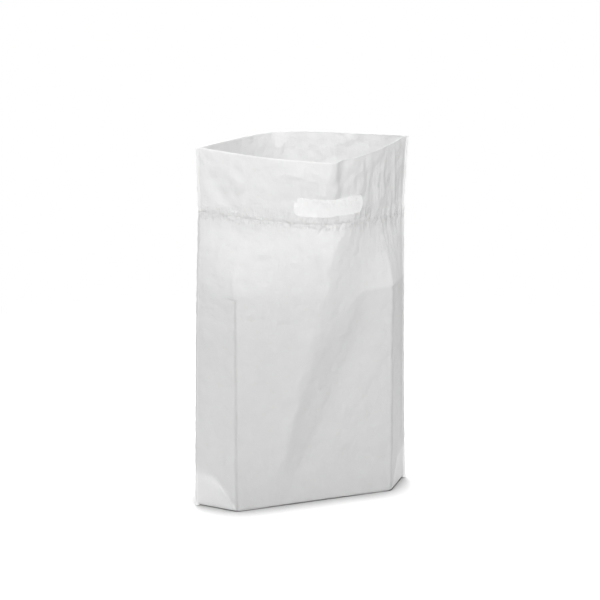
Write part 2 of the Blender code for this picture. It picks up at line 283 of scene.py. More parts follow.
def gathers(u, v, back):
    """How far the slack film stands out in upright folds along the right of the front's hem."""
    if back:
        return 0.0 * u
    begun = smooth((u - GATHER_FROM) / GATHER_PITCH)
    held = smooth((HALF - u) / GATHER_RUN_OUT)
    along = np.exp(-(((v - HEM_LINE) / GATHER_REACH) ** 2))
    return GATHER_RISE * begun * held * along * np.sin(2.0 * math.pi * (u - GATHER_FROM) / GATHER_PITCH)


print("the front's rim sags to", round(float(height(MIDDLE_CREASE, FLAT_HEIGHT, False)), 4))

# %% [markdown]
# ## From the flat film to the standing bag
# Folding every point by itself would be slow, so each panel gets a table of folded levels first, and
# a point is then read between the table's rows. The side welds are simply the film beyond the last
# crease, lying flat together in the plane of the seams.

# %% Tables of the folded panels
LEVELS = np.linspace(0.0, FLAT_HEIGHT, 300)


def fold_table(back):
    levels = [section(v, back) for v in LEVELS]
    return levels[0][0], np.array([x for _, x, _ in levels]), np.array([y for _, _, y in levels])


TABLES = {back: fold_table(back) for back in (False, True)}
print("levels and places in each table:", TABLES[False][1].shape)

# %% Read a folded point and its normal
NORMAL_STEP = 0.0015


def between(table, places, u, v):
    """Reads a table at (u, v), straight between its rows and columns."""
    row = np.clip(v / FLAT_HEIGHT * (len(LEVELS) - 1), 0.0, len(LEVELS) - 1.001)
    column = np.clip((u - places[0]) / (places[1] - places[0]), 0.0, len(places) - 1.001)
    i, j = row.astype(int), column.astype(int)
    s, t = row - i, column - j
    low = table[i, j] * (1 - t) + table[i, j + 1] * t
    high = table[i + 1, j] * (1 - t) + table[i + 1, j + 1] * t
    return low * (1 - s) + high * s


def folded(u, v, back):
    """The standing bag's points for arrays of places on the flat film, as rows of x, y, z."""
    places, x_table, depth_table = TABLES[back]
    inside = np.clip(u, -HALF, HALF)
    x = between(x_table, places, inside, v) + (u - inside)
    depth = between(depth_table, places, inside, v)
    return np.stack([x, depth if back else -depth, height(inside, v, back)], axis=-1)


def film_normals(u, v, back, step=NORMAL_STEP):
    """Unit normals of the folded film, pointing out of the bag."""
    across = folded(u + step, v, back) - folded(u - step, v, back)
    upwards = folded(u, v + step, back) - folded(u, v - step, back)
    normal = np.cross(across, upwards)
    normal /= np.linalg.norm(normal, axis=-1, keepdims=True)
    return -normal if back else normal


print("a corner of the floor stands at", folded(np.array([CORNER]), np.array([0.0]), False)[0])

# %% [markdown]
# ## Gathers, puckers and dents
# Heat shrinks the film at each weld, so the hem's weld puckers on both sides of its line, and the
# slack film on the right of the middle crease gathers into upright wrinkles. Each is written as a
# small height off the panel, in the film's own coordinates, and they are added up. Sculpting would
# do as well, but a formula stays sharp where a mesh is refined.

# %% Short upright folds at the hem
FOLD_SLANT = 0.12
FOLD_FADE = 0.4


def window(v, low, high, soft):
    """1 between low and high, falling to 0 over a soft stretch outside."""
    return smooth((v - low) / soft + 1.0) * smooth((high - v) / soft + 1.0)


def scatter_folds(seed, count, across, up, length, width, rise):
    """Short upright folds at random places: rows of place, slant, low and high end, width, rise."""
    random = np.random.default_rng(seed)
    low = random.uniform(*up, count)
    return np.stack(
        [
            random.uniform(*across, count),
            random.uniform(-FOLD_SLANT, FOLD_SLANT, count),
            low,
            low + random.uniform(*length, count),
            random.uniform(*width, count),
            random.uniform(*rise, count) * random.choice([-1.0, 1.0], count),
        ],
        axis=-1,
    )


def add_folds(folds, u, v):
    total = np.zeros_like(u)
    for place, slant, low, high, width, rise in folds:
        line = place + slant * (v - (low + high) / 2)
        fade = window(v, low, high, (high - low) * FOLD_FADE)
        total += rise * np.exp(-(((u - line) / width) ** 2)) * fade
    return total


HEM_GATHERS = scatter_folds(
    3, 46, (-HALF, HALF), (-0.022, -0.004), (0.010, 0.022), (0.0020, 0.0042), (0.00015, 0.0005)
)
SLACK_FOLDS = scatter_folds(
    8, 54, (0.026, HALF - 0.004), (-0.026, 0.022), (0.014, 0.060), (0.0017, 0.0038), (0.0002, 0.0007)
)
print("gathers along the hem:", len(HEM_GATHERS), "and folds in the slack film:", len(SLACK_FOLDS))

# %% The shrunken weld of the hem
SCALLOP_PITCH = 0.0095
SCALLOP_RISE = 0.00032
SCALLOP_REACH = 0.0042
GROOVE_DEPTH = 0.00035
GROOVE_WIDTH = 0.0016


def hem_pucker(u, off_hem):
    """The shrunken weld: small scallops right on the line, and gathers running off it."""
    phase = 0.9 * np.sin(u * 61.0) + 0.7 * np.sin(u * 143.0 + 1.3)
    wave = np.sin(u * 2 * math.pi / SCALLOP_PITCH + 2.2 * phase)
    scallops = SCALLOP_RISE * wave * np.exp(-((off_hem / SCALLOP_REACH) ** 2))
    groove = -GROOVE_DEPTH * np.exp(-((off_hem / GROOVE_WIDTH) ** 2))
    return scallops + groove + add_folds(HEM_GATHERS, u, off_hem)


print("scallops in a panel's weld:", round(2 * HALF / SCALLOP_PITCH))

# %% [markdown]
# ## Slack and creases
# No film hangs truly flat. Low waves of many directions stand for the slack that no crease takes up,
# and single creases for what handling leaves. The gusset's slanting fold lies behind the panel at
# each lower corner and prints through it, and the floor's corners leave an upright crease above them.

# %% Slack waves
def slack_waves(seed, count, shortest, longest, steepness):
    """Slack that no crease takes up: low waves of many directions and lengths."""
    random = np.random.default_rng(seed)
    turn = random.uniform(0.0, math.pi, count)
    length = shortest * (longest / shortest) ** random.uniform(0.0, 1.0, count)
    shift = random.uniform(0.0, 2 * math.pi, count)
    rise = steepness * length / math.sqrt(count)
    return np.stack([np.cos(turn) / length, np.sin(turn) / length, shift, rise], axis=-1)


def add_waves(waves, u, v):
    total = np.zeros_like(u)
    for across, up, shift, rise in waves:
        total += rise * np.sin(2 * math.pi * (u * across + v * up) + shift)
    return total


LONG_WAVES = {back: slack_waves(21 if back else 5, 18, 0.035, 0.120, 0.0100) for back in (False, True)}
SHORT_WAVES = {back: slack_waves(34 if back else 13, 30, 0.009, 0.030, 0.0190) for back in (False, True)}
print("highest of the front's long waves, mm:", round(1000 * float(LONG_WAVES[False][:, 3].max()), 2))

# %% Folds that print through the panel
PRINT_SLOPE = 1.10
PRINT_BOW = 0.011
PRINT_WIDTH = 0.0030
PRINT_RISE = 0.00055
LINED_RISE = 0.0003
CREASE_DEPTH = 0.00040
CREASE_WIDTH = 0.0013
PINCH_DEPTH = 0.0009
PINCH_ABOVE = 0.004
PINCH_BESIDE = 0.007


def gusset_print(u, v):
    """The slanting fold of the gusset leaf, pressed through the film at each lower corner."""
    beyond = np.clip(np.abs(u) - CORNER, 0.0, None)
    share = beyond / (HALF - CORNER)
    off_fold = v - PRINT_SLOPE * GUSSET_LEAF * share - PRINT_BOW * np.sin(math.pi * share)
    fold = PRINT_RISE * np.exp(-((off_fold / PRINT_WIDTH) ** 2))
    return smooth(beyond / 0.008) * (fold + LINED_RISE * smooth(-off_fold / 0.004))


def corner_creases(u, v):
    """The upright creases over the corners of the floor: a sharp line, with a pinch at its head."""
    off_corner = np.abs(u) - CORNER
    line = np.exp(-((off_corner / CREASE_WIDTH) ** 2)) * smooth((PACKED_HEIGHT + 0.006 - v) / 0.012)
    up, beside = v - PACKED_HEIGHT - PINCH_ABOVE, off_corner - PINCH_BESIDE
    pinch = np.exp(-((up / 0.0030) ** 2 + (beside / 0.010) ** 2))
    return -CREASE_DEPTH * line - PINCH_DEPTH * pinch


print("a corner crease is", CREASE_DEPTH, "deep and runs up to", PACKED_HEIGHT)

# %% Creases from handling
STRAY_CREASES = np.array(
    [
        # place u, v of one end, place of the other end, width, rise
        (-0.049, 0.437, -0.014, 0.431, 0.0026, 0.0006),
        (-0.148, 0.425, -0.118, 0.383, 0.0080, -0.0016),
        (-0.118, 0.428, -0.100, 0.390, 0.0070, 0.0012),
        (-0.062, 0.152, -0.022, 0.141, 0.0030, 0.0006),
        (-0.060, 0.120, -0.036, 0.131, 0.0040, -0.0005),
        (-0.040, 0.350, -0.010, 0.322, 0.0045, -0.0008),
        (-0.006, 0.345, 0.004, 0.305, 0.0050, 0.0007),
        (-0.085, 0.330, -0.050, 0.345, 0.0055, 0.0007),
        (-0.146, 0.300, -0.122, 0.296, 0.0032, -0.0007),
        (0.030, 0.420, 0.052, 0.436, 0.0045, 0.0006),
        (0.086, 0.180, 0.094, 0.120, 0.0050, -0.0005),
        (0.020, 0.060, 0.060, 0.088, 0.0060, 0.0005),
    ]
)
CREASE_FADE = 0.3


def add_creases(creases, u, v):
    """Short creases left by handling: each fades out from its line and from its two ends."""
    total = np.zeros_like(u)
    for u0, v0, u1, v1, width, rise in creases:
        length = math.hypot(u1 - u0, v1 - v0)
        along = ((u - u0) * (u1 - u0) + (v - v0) * (v1 - v0)) / length**2
        off = ((u - u0) * (v1 - v0) - (v - v0) * (u1 - u0)) / length
        ends = smooth(along / CREASE_FADE + 0.5) * smooth((1.0 - along) / CREASE_FADE + 0.5)
        total += rise * np.exp(-((off / width) ** 2)) * ends
    return total


print("creases from handling:", len(STRAY_CREASES))

# %% [markdown]
# ## The larger dents
# Right of its middle crease the hem dips in and bulges out again, and a diagonal buckle crosses the
# front from the left of its foot. Both bend the film by a few millimetres, which the folding already
# begins and these heights carry on. The foot's fold is rounded, and the side welds waver, since they
# shrink as they cool.

# %% The hem's dip
DIP_DEPTH = 0.0052
DIP_BESIDE_CREASE = 0.016
DIP_WIDTH = 0.014
DIP_FADE = 0.040
BULGE_RISE = 0.0034
BULGE_PLACE = 0.094
BULGE_WIDTH = 0.034


def mouth_dip(u, v):
    """Right of the middle crease the hem dips in, then bulges before it runs on to the side weld."""
    above = smooth((v - HEM_LINE + DIP_FADE / 2) / DIP_FADE)
    dip = -DIP_DEPTH * np.exp(-(((u - MIDDLE_CREASE - DIP_BESIDE_CREASE) / DIP_WIDTH) ** 2))
    return above * (dip + BULGE_RISE * np.exp(-(((u - BULGE_PLACE) / BULGE_WIDTH) ** 2)))


print("the hem dips by", DIP_DEPTH, "and bulges by", BULGE_RISE)

# %% The diagonal buckle
BUCKLE_DIP = 0.0040
BUCKLE_CREST = 0.0037
BUCKLE_FOOT_WIDTH = 0.008
BUCKLE_WIDENING = 0.06
BUCKLE_FROM = 0.012
BUCKLE_TO = 0.262
BUCKLE_FADE = 0.05


def buckle(u, v):
    """The diagonal buckle stands out a little more than its creases alone make it."""
    rise = np.minimum(v / VALLEY_HEAD_HEIGHT, 1.0) ** VALLEY_CURVE
    valley = RIDGE_FOOT + VALLEY_FROM_RIDGE + (VALLEY_HEAD - RIDGE_FOOT) * rise
    ridge = RIDGE_FOOT + (MIDDLE_CREASE - RIDGE_FOOT) * smooth(v / RIDGE_HEAD_HEIGHT)
    width = BUCKLE_FOOT_WIDTH + BUCKLE_WIDENING * v
    stretch = smooth((v - BUCKLE_FROM) / BUCKLE_FADE) * smooth((BUCKLE_TO - v) / BUCKLE_FADE)
    dip = -BUCKLE_DIP * np.exp(-(((u - valley) / (1.2 * width)) ** 2))
    crest = BUCKLE_CREST * np.exp(-(((u - ridge + 0.002) / (0.9 * width)) ** 2))
    return (dip + crest) * stretch


print("the buckle's dip is", BUCKLE_DIP, "and its crest", BUCKLE_CREST)

# %% The rounded foot and the wavering welds
FOOT_ROUNDING = 0.0024
FOOT_REACH = 1.6 * FOOT_ROUNDING
FOOT_ROWS = (0.0004, 0.0009, 0.0015, 0.0028)
WELD_WAVER = 0.00022
WAVER_FROM_EDGE = 0.004


def foot_round(v):
    """How far the bottom fold rounds inwards just above the table."""
    return FOOT_ROUNDING * np.clip(1.0 - v / FOOT_REACH, 0.0, 1.0) ** 2


def weld_wave(u, v):
    """The side welds shrink as they cool, so their edges wander a little."""
    beyond = smooth((np.abs(u) - HALF + WAVER_FROM_EDGE) / WAVER_FROM_EDGE)
    wander = 0.6 * np.sin(v * 290.0) + 0.5 * np.sin(v * 613.0 + 1.0) + 0.6 * np.sin(v * 131.0 + 2.0)
    near_hem = 1.0 + 1.2 * np.exp(-(((v - HEM_LINE) / 0.05) ** 2))
    return -np.sign(u) * WELD_WAVER * beyond * (1.2 + wander) * near_hem


print("the foot rounds in by", foot_round(0.0))

# %% All the relief together
GATHER_SHARE = 0.45
HELD_BESIDE_WELD = 0.012
HELD_ABOVE_FOOT = 0.02


def relief(u, v, back):
    """How far the film stands out of its folded panel at (u, v)."""
    off_hem = v - hem_height(u, back)
    held = smooth((HALF - np.abs(u)) / HELD_BESIDE_WELD) * smooth(v / HELD_ABOVE_FOOT)
    drift = 0.0035 * np.sin(v * 47.0 + 1.0) + 0.0030 * np.sin(u * 95.0 + v * 21.0)
    total = hem_pucker(u, off_hem) + GATHER_SHARE * gathers(u + drift, v, back)
    total = total + add_waves(LONG_WAVES[back], u, v) + add_waves(SHORT_WAVES[back], u, v)
    total = total + gusset_print(u, v) + corner_creases(u, v)
    if not back:
        total = total + add_folds(SLACK_FOLDS, u, off_hem) + buckle(u, v)
        total = total + add_creases(STRAY_CREASES, u, v) + mouth_dip(u, v)
    return total * held


at_hem = relief(np.zeros(1), np.full(1, HEM_LINE), False)
print("relief at the hem's middle, mm:", round(1000 * float(at_hem[0]), 2))

# %% [markdown]
# ## The panels, laid out flat
# Each panel starts as a grid laid flat. The strip above the rim is turned over by half a turn, which
# makes the doubled hem. Modelling the second layer apart would need a seam at the rim, and here the
# rim is one fold, as it is on the bag.

# %% Lay out the film
def only(made):
    bpy.ops.object.select_all(action="DESELECT")
    made.select_set(True)
    bpy.context.view_layer.objects.active = made


def flat_grid(name, width, length, step):
    """A flat grid of film from the bottom fold at y = 0, as wide as the panel with its welds."""
    bpy.ops.object.select_all(action="DESELECT")
    bpy.ops.mesh.primitive_grid_add(
        x_subdivisions=round(width / step), y_subdivisions=round(length / step), size=1.0
    )
    made = bpy.context.object
    made.name = name
    made.scale = (width, length, 1.0)
    made.location = (0.0, length / 2, 0.0)
    bpy.ops.object.transform_apply(location=True, rotation=True, scale=True)
    return made


def cut_across(made, y):
    """A straight row of points across the flat film."""
    only(made)
    bpy.ops.object.mode_set(mode="EDIT")
    bpy.ops.mesh.select_all(action="SELECT")
    bpy.ops.mesh.bisect(plane_co=(0.0, y, 0.0), plane_no=(0.0, 1.0, 0.0))
    bpy.ops.object.mode_set(mode="OBJECT")


print("a flat panel with its hem is", round(FLAT_HEIGHT + HEM_DEPTH, 4), "long")

# %% Turn over the hem
def vertex_places(mesh):
    """The mesh's vertices as rows of x, y, z."""
    where = np.empty(len(mesh.vertices) * 3)
    mesh.vertices.foreach_get("co", where)
    return where.reshape(-1, 3)


def select_beyond(made, y):
    """Selects the film beyond the line y, for edit mode."""
    mesh = made.data
    beyond = vertex_places(mesh)[:, 1] > y
    mesh.vertices.foreach_set("select", beyond)
    for kind in (mesh.edges, mesh.polygons):
        kind.foreach_set("select", [all(beyond[i] for i in part.vertices) for part in kind])


def turn_over_hem(made):
    """Half a turn of the strip above the rim, so that it lies under the panel."""
    select_beyond(made, FLAT_HEIGHT + HEM_AIR / 2)
    only(made)
    bpy.ops.object.mode_set(mode="EDIT")
    bpy.ops.transform.rotate(
        value=math.pi, orient_axis="X",
        center_override=(0.0, FLAT_HEIGHT, -(FILM + HEM_AIR / 2)),
    )
    bpy.ops.object.mode_set(mode="OBJECT")


print("the two layers of the hem lie", HEM_AIR, "apart")

# %% [markdown]
# ## Thickness and hand hole
# Solidify gives the film its thickness and a Boolean punches the hand hole through both layers at
# once, as the press does. The punch is a block with rounded corners. It is sliced across so that its
# long edges can bow inwards a little, because soft film never keeps a slot quite straight.

# %% Give the film its thickness
def apply_all(made):
    only(made)
    for modifier in list(made.modifiers):
        bpy.ops.object.modifier_apply(modifier=modifier.name)


def give_thickness(made, offset=-1.0):
    wall = made.modifiers.new("film", "SOLIDIFY")
    wall.thickness = FILM
    wall.offset = offset
    apply_all(made)


print("film drawn", FILM * 1000, "mm thick")

# %% The punch for the hand holes
PUNCH_DEPTH = 0.02
PUNCH_SLICES = 13


def round_upright_edges(punch):
    """Bevels the four edges that stand upright, which are the corners of the slot."""
    corners = punch.modifiers.new("round corners", "BEVEL")
    corners.width = HOLE_CORNER
    corners.segments = 10
    corners.limit_method = "WEIGHT"
    weights = punch.data.attributes.new("bevel_weight_edge", "FLOAT", "EDGE")
    for edge in punch.data.edges:
        a, b = (punch.data.vertices[i].co for i in edge.vertices)
        weights.data[edge.index].value = 1.0 if abs(a.z - b.z) > PUNCH_DEPTH / 2 else 0.0
    apply_all(punch)


def make_punch():
    """A slot with round corners, a little narrower in its middle, standing up through the flat film."""
    bpy.ops.object.select_all(action="DESELECT")
    bpy.ops.mesh.primitive_cube_add(size=1.0, location=(HOLE_SHIFT, HOLE_MIDDLE, 0.0))
    punch = bpy.context.object
    punch.name = "hand_hole_punch"
    punch.scale = (HOLE_WIDTH, HOLE_HEIGHT, PUNCH_DEPTH)
    bpy.ops.object.transform_apply(location=True, rotation=True, scale=True)
    round_upright_edges(punch)
    end = HOLE_WIDTH / 2 - HOLE_CORNER
    for x in np.linspace(-end, end, PUNCH_SLICES)[1:-1]:
        only(punch)
        bpy.ops.object.mode_set(mode="EDIT")
        bpy.ops.mesh.select_all(action="SELECT")
        bpy.ops.mesh.bisect(plane_co=(HOLE_SHIFT + x, 0.0, 0.0), plane_no=(1.0, 0.0, 0.0))
        bpy.ops.object.mode_set(mode="OBJECT")
    for vertex in punch.data.vertices:
        across = (vertex.co.x - HOLE_SHIFT) / (HOLE_WIDTH / 2)
        vertex.co.y -= (1.0 if vertex.co.y > HOLE_MIDDLE else -1.0) * HOLE_EDGE_BOW * (1.0 - across**2)
    return punch


def punch_through(made):
    punch = make_punch()
    cut = made.modifiers.new("hand hole", "BOOLEAN")
    cut.operation = "DIFFERENCE"
    cut.object = punch
    cut.solver = "EXACT"
    apply_all(made)
    bpy.data.objects.remove(punch)


print("the punch is sliced", PUNCH_SLICES - 2, "times across")

# %% [markdown]
# ## Folding a panel open
# The flat panel's coordinates are kept as a UV map before it is folded, so every finish can follow
# the film and not the air around it. Then each vertex moves to its folded place, and out along the
# normal by its layer's offset and the relief. The back panel is turned inside out by that, so its
# normals are flipped.

# %% Fold a flat panel open
def keep_film_map(made):
    """The piece's UV map holds the film's own coordinates in metres, as they are while it lies flat."""
    mesh = made.data
    corner = np.empty(len(mesh.loops), int)
    mesh.loops.foreach_get("vertex_index", corner)
    while mesh.uv_layers:
        mesh.uv_layers.remove(mesh.uv_layers[0])
    film_map = mesh.uv_layers.new(name="film")
    film_map.uv.foreach_set("vector", vertex_places(mesh)[corner][:, :2].ravel())


def open_panel(made, back):
    mesh = made.data
    u, v, off = vertex_places(mesh).T
    off = off + relief(u, v, back) - foot_round(v)
    points = folded(u, v, back) + film_normals(u, v, back) * off[:, None]
    points[:, 0] += weld_wave(u, v)
    points[:, 2] = np.maximum(points[:, 2], FILM)
    mesh.vertices.foreach_set("co", points.ravel())
    if back:
        mesh.flip_normals()
    mesh.update()


print("the film map runs up to", FLAT_HEIGHT, "m")

# %% Make both panels
def finish_piece(made, smooth_angle=40.0):
    only(made)
    bpy.ops.object.shade_smooth_by_angle(angle=math.radians(smooth_angle))
    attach(made, "root")
    triangles = sum(len(face.vertices) - 2 for face in made.data.polygons)
    print(made.name, triangles, "triangles")


def make_panel(name, back, step):
    panel = flat_grid(name, FLAT_WIDTH, FLAT_HEIGHT + HEM_DEPTH, step)
    for row in (FLAT_HEIGHT, FLAT_HEIGHT + HEM_AIR, *FOOT_ROWS):
        cut_across(panel, row)
    turn_over_hem(panel)
    give_thickness(panel)
    punch_through(panel)
    keep_film_map(panel)
    open_panel(panel, back)
    finish_piece(panel)
    return panel


FRONT_STEP = 0.0021
BACK_STEP = 0.0028
front_panel = make_panel("front_panel", False, FRONT_STEP)
back_panel = make_panel("back_panel", True, BACK_STEP)

# %% [markdown]
# ## The gusset
# Below the bottom fold the film turns in. Between the corners the two leaves lie on the table as the
# floor. Beyond them each leaf lines the wall up to a slanting fold, and the rest slopes down to the
# floor's end as a tuck. From the front, the leaf that lines the wall shows as a brighter, doubled
# patch at each lower corner. A boxed bottom would be quicker, but its ends would be square, and a
# gusset's never are.

# %% Fold the gusset open
def gusset_points(u, w):
    """Points for places on the gusset: u across, w from the front's bottom fold to the back's."""
    back = w > GUSSET_LEAF
    reach = np.where(back, 2 * GUSSET_LEAF - w, w)
    side = np.where(u < 0.0, -1.0, 1.0)
    beyond = np.clip(np.abs(u) - CORNER, 0.0, HALF - CORNER)
    fold = beyond * GUSSET_LEAF / (HALF - CORNER)
    up = np.minimum(reach, fold)
    wall = np.where(back[:, None], folded(u, up, True), folded(u, up, False))
    share = np.where(reach > fold, (reach - fold) / np.maximum(GUSSET_LEAF - fold, 1e-6), 0.0)
    outer_x = np.abs(folded(side * (CORNER + beyond), fold, False)[:, 0])
    seam_x = np.abs(folded(side * HALF, np.full_like(u, GUSSET_LEAF), False)[:, 0])
    ridge_x = CORNER + (seam_x - CORNER) * (beyond / (HALF - CORNER))
    x = np.where(np.abs(u) <= CORNER, wall[:, 0], side * (outer_x + (ridge_x - outer_x) * share))
    x = np.where(reach <= fold, wall[:, 0], x)
    y = wall[:, 1] * (1.0 - share)
    return np.stack([x, y, up], axis=-1)


print("the tuck's outer end stands at", gusset_points(np.array([HALF]), np.array([GUSSET_LEAF]))[0])

# %% Make the gusset and put the three pieces in the solid's place
GUSSET_STEP = 0.003
GUSSET_CLEARANCE = 0.0007


def make_gusset():
    gusset = flat_grid("gusset", 2 * HALF, 2 * GUSSET_LEAF, GUSSET_STEP)
    keep_film_map(gusset)
    mesh = gusset.data
    u, w, _ = vertex_places(mesh).T
    points = gusset_points(u, w)
    from_middle = np.maximum(np.hypot(points[:, 0], points[:, 1]), 0.01)
    inward = 1.0 - (GUSSET_CLEARANCE + foot_round(points[:, 2])) / from_middle
    points[:, 0] *= inward
    points[:, 1] *= inward
    points[:, 2] += FILM * 1.2
    mesh.vertices.foreach_set("co", points.ravel())
    give_thickness(gusset, offset=0.0)
    finish_piece(gusset)
    return gusset


gusset = make_gusset()
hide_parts("carrier_bag")
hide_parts("carrier_bag")
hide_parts("carrier_bag")

# %% [markdown]
# ## Shader maths
# A finish is easier to read as arithmetic than as a web of nodes. One small class wraps a socket and
# turns each operator into a Math node, and another holds a node tree and makes any other node.

# %% A small helper for shader maths
class Value:
    """Wraps a socket, so that shader maths reads like arithmetic."""

    def __init__(self, tree, socket):
        self.tree = tree
        self.socket = socket

    def _math(self, operation, first, second=None):
        node = self.tree.nodes.new("ShaderNodeMath")
        node.operation = operation
        for slot, value in zip(node.inputs, (first, second)):
            if isinstance(value, Value):
                self.tree.links.new(value.socket, slot)
            elif value is not None:
                slot.default_value = value
        return Value(self.tree, node.outputs[0])

    def __add__(self, other):
        return self._math("ADD", self, other)

    def __radd__(self, other):
        return self._math("ADD", other, self)

    def __sub__(self, other):
        return self._math("SUBTRACT", self, other)

    def __rsub__(self, other):
        return self._math("SUBTRACT", other, self)

    def __mul__(self, other):
        return self._math("MULTIPLY", self, other)

    def __rmul__(self, other):
        return self._math("MULTIPLY", other, self)

    def __truediv__(self, other):
        return self._math("DIVIDE", self, other)

    def __pow__(self, other):
        return self._math("POWER", self, other)

    def absolute(self):
        return self._math("ABSOLUTE", self)

    def sine(self):
        return self._math("SINE", self)

    def at_least(self, other):
        return self._math("MAXIMUM", self, other)

    def bell(self, width):
        """1 where the value is 0, falling evenly to both sides within about the width."""
        scaled = self / width
        return self._math("EXPONENT", scaled * scaled * -1.0)


print("a Value also has:", ", ".join(name for name in vars(Value) if not name.startswith("_")))

# %% A node tree with one method for every other node
WHITE = (1.0, 1.0, 1.0, 1.0)


class Finish:
    """The node tree of a material, or of the world."""

    def __init__(self, holder):
        holder.use_nodes = True
        self.holder = holder
        self.tree = holder.node_tree
        self.tree.nodes.clear()

    def node(self, kind, settings=None, inputs=None):
        made = self.tree.nodes.new(kind)
        for name, value in (settings or {}).items():
            setattr(made, name, value)
        for name, value in (inputs or {}).items():
            if isinstance(value, Value):
                self.tree.links.new(value.socket, made.inputs[name])
            elif isinstance(value, bpy.types.NodeSocket):
                self.tree.links.new(value, made.inputs[name])
            else:
                made.inputs[name].default_value = value
        return made

    def value(self, socket):
        return Value(self.tree, socket)

    def mix(self, factor, first, second):
        """One shader where the factor is 0, the other where it is 1."""
        node = self.node("ShaderNodeMixShader", inputs={0: factor, 1: first, 2: second})
        return node.outputs["Shader"]

    def step(self, value, start, end):
        """0 below start and 1 above end, with an even slope between them."""
        node = self.node(
            "ShaderNodeMapRange", {"interpolation_type": "SMOOTHSTEP"},
            {"Value": value, "From Min": start, "From Max": end},
        )
        return self.value(node.outputs["Result"])

    def noise(self, film_map, across, up, detail, roughness):
        """Noise on the film, about -0.5 to 0.5, with so many cells a metre across and up."""
        cells = self.node(
            "ShaderNodeMapping", inputs={"Vector": film_map.outputs["UV"], "Scale": (across, up, 1.0)}
        )
        node = self.node(
            "ShaderNodeTexNoise", {"noise_dimensions": "3D"},
            {"Vector": cells.outputs["Vector"], "Scale": 1.0, "Detail": detail, "Roughness": roughness},
        )
        return self.value(node.outputs["Fac"]) - 0.5


print("a Finish has:", ", ".join(name for name in vars(Finish) if not name.startswith("_")))

# %% [markdown]
# ## The film's finish
# White polythene carries fine white pigment, which scatters part of the light back and lets the rest
# come through, and that is why the inside glows. The two shares are about equal on the front here,
# which was fitted to the photograph's tones and not measured. The surface is between satin and gloss,
# with a faint grain along the film. The finish mixes a Principled BSDF with Translucent BSDFs.
# Doubled film lets less through, so the mixing factor follows the number of layers, worked out from
# the film's map. Subsurface scattering would do it too, but slowly, and it can't know a second layer.

# %% Noises of the film
NOISES = {
    # cells a metre across and up the film, detail, roughness
    "grain": (900.0, 315.0, 3.0, 0.60),
    "mottle": (60.0, 60.0, 4.0, 0.55),
    "creasing": (140.0, 49.0, 3.0, 0.50),
    "fine": (210.0, 210.0, 4.0, 0.60),
    "upright": (330.0, 45.0, 2.0, 0.50),
    "wander": (90.0, 0.0, 2.0, 0.60),
    "ticks": (240.0, 120.0, 1.0, 0.50),
    "patches": (120.0, 120.0, 2.0, 0.50),
}


def film_noises(finish, film_map):
    return {name: finish.noise(film_map, *settings) for name, settings in NOISES.items()}


print("noises on the film:", ", ".join(NOISES))

# %% [markdown]
# ## Marks of a panel
# A mark is a value over the panel: where the film is doubled, where the weld puckers it, where it is
# creased, where the gusset lines it, and where a painted shade darkens the walls below the drape line.
# Painted masks would do too, but they are pictures of one size. Tone, bump and the share of light that
# passes are sums of the same marks, so they stay in step with each other.

# %% Marks along the hem
DOUBLED = (-0.0012, 0.0004)
PUCKER_REACH = 0.011
SLACK_ACROSS = (0.035, 0.065)
SLACK_REACH = 0.060
SCALLOP_WIDTH = 0.0036
WELD_LINE_WIDTH = 0.0010
WELD_LINE_WANDER = 0.0050
WELD_LINE_FAINTER = (0.03, 0.08)
RIM_LIGHT = (FLAT_HEIGHT - 0.0024, FLAT_HEIGHT - 0.0010)
RIM_DARKER = (0.005, 0.03)


def hem_marks(finish, noises, u, v, gathered):
    """The doubled hem, its weld with the puckers, the slack film beside it and the rim."""
    run = (u - MIDDLE_CREASE) / (HALF - MIDDLE_CREASE)
    weld = HEM_LINE - run.at_least(0.0) ** HEM_RUN_OUT_CURVE * HEM_RUN_OUT
    off_weld = v - weld
    weld_line = (off_weld + noises["wander"] * WELD_LINE_WANDER).bell(WELD_LINE_WIDTH)
    slack = finish.step(u, *SLACK_ACROSS) * off_weld.bell(SLACK_REACH) * gathered
    scallops = (off_weld + SCALLOP_REACH).bell(SCALLOP_WIDTH) * gathered
    return {
        "doubled": finish.step(off_weld, *DOUBLED),
        "puckers": off_weld.bell(PUCKER_REACH) * (noises["upright"] + noises["fine"]),
        "gathers": slack * noises["upright"],
        # In the tone the scallops are painted light and shade on the weld's puckers; in the bump they are
        # real ticks.
        "scallops": scallops * noises["ticks"],
        "weld_line": weld_line * (1.0 - finish.step(u, *WELD_LINE_FAINTER) * 0.6),
        # A painted highlight along the rim at the left, turning to painted shade at the right.
        "rim": finish.step(v, *RIM_LIGHT) * (1.0 - finish.step(u, *RIM_DARKER) * 1.7),
    }


print("the hem's marks follow the weld, which runs out", HEM_RUN_OUT, "lower at the right")

# %% Marks of the lower corners and the side welds
PACKED = (PACKED_HEIGHT + 0.003, PACKED_HEIGHT + 0.007)
CORNER_LINE_WIDTH = 0.0015
CORNER_LINE_WANDER = 0.0006
HOOK_ABOVE = 0.005
HOOK_BESIDE = 0.006
HOOK_LENGTH = 0.006
HOOK_WIDTH = 0.0010
STRIP = (HALF - 0.0006, HALF + 0.0003)
POCKET = (0.0, 0.002)
LINED = (-0.007, 0.004)
FOLD_LIGHT_WIDTH = 0.0042
FOLD_LIGHT_BESIDE = 0.020
FOLD_LIGHT_REACH = 0.022


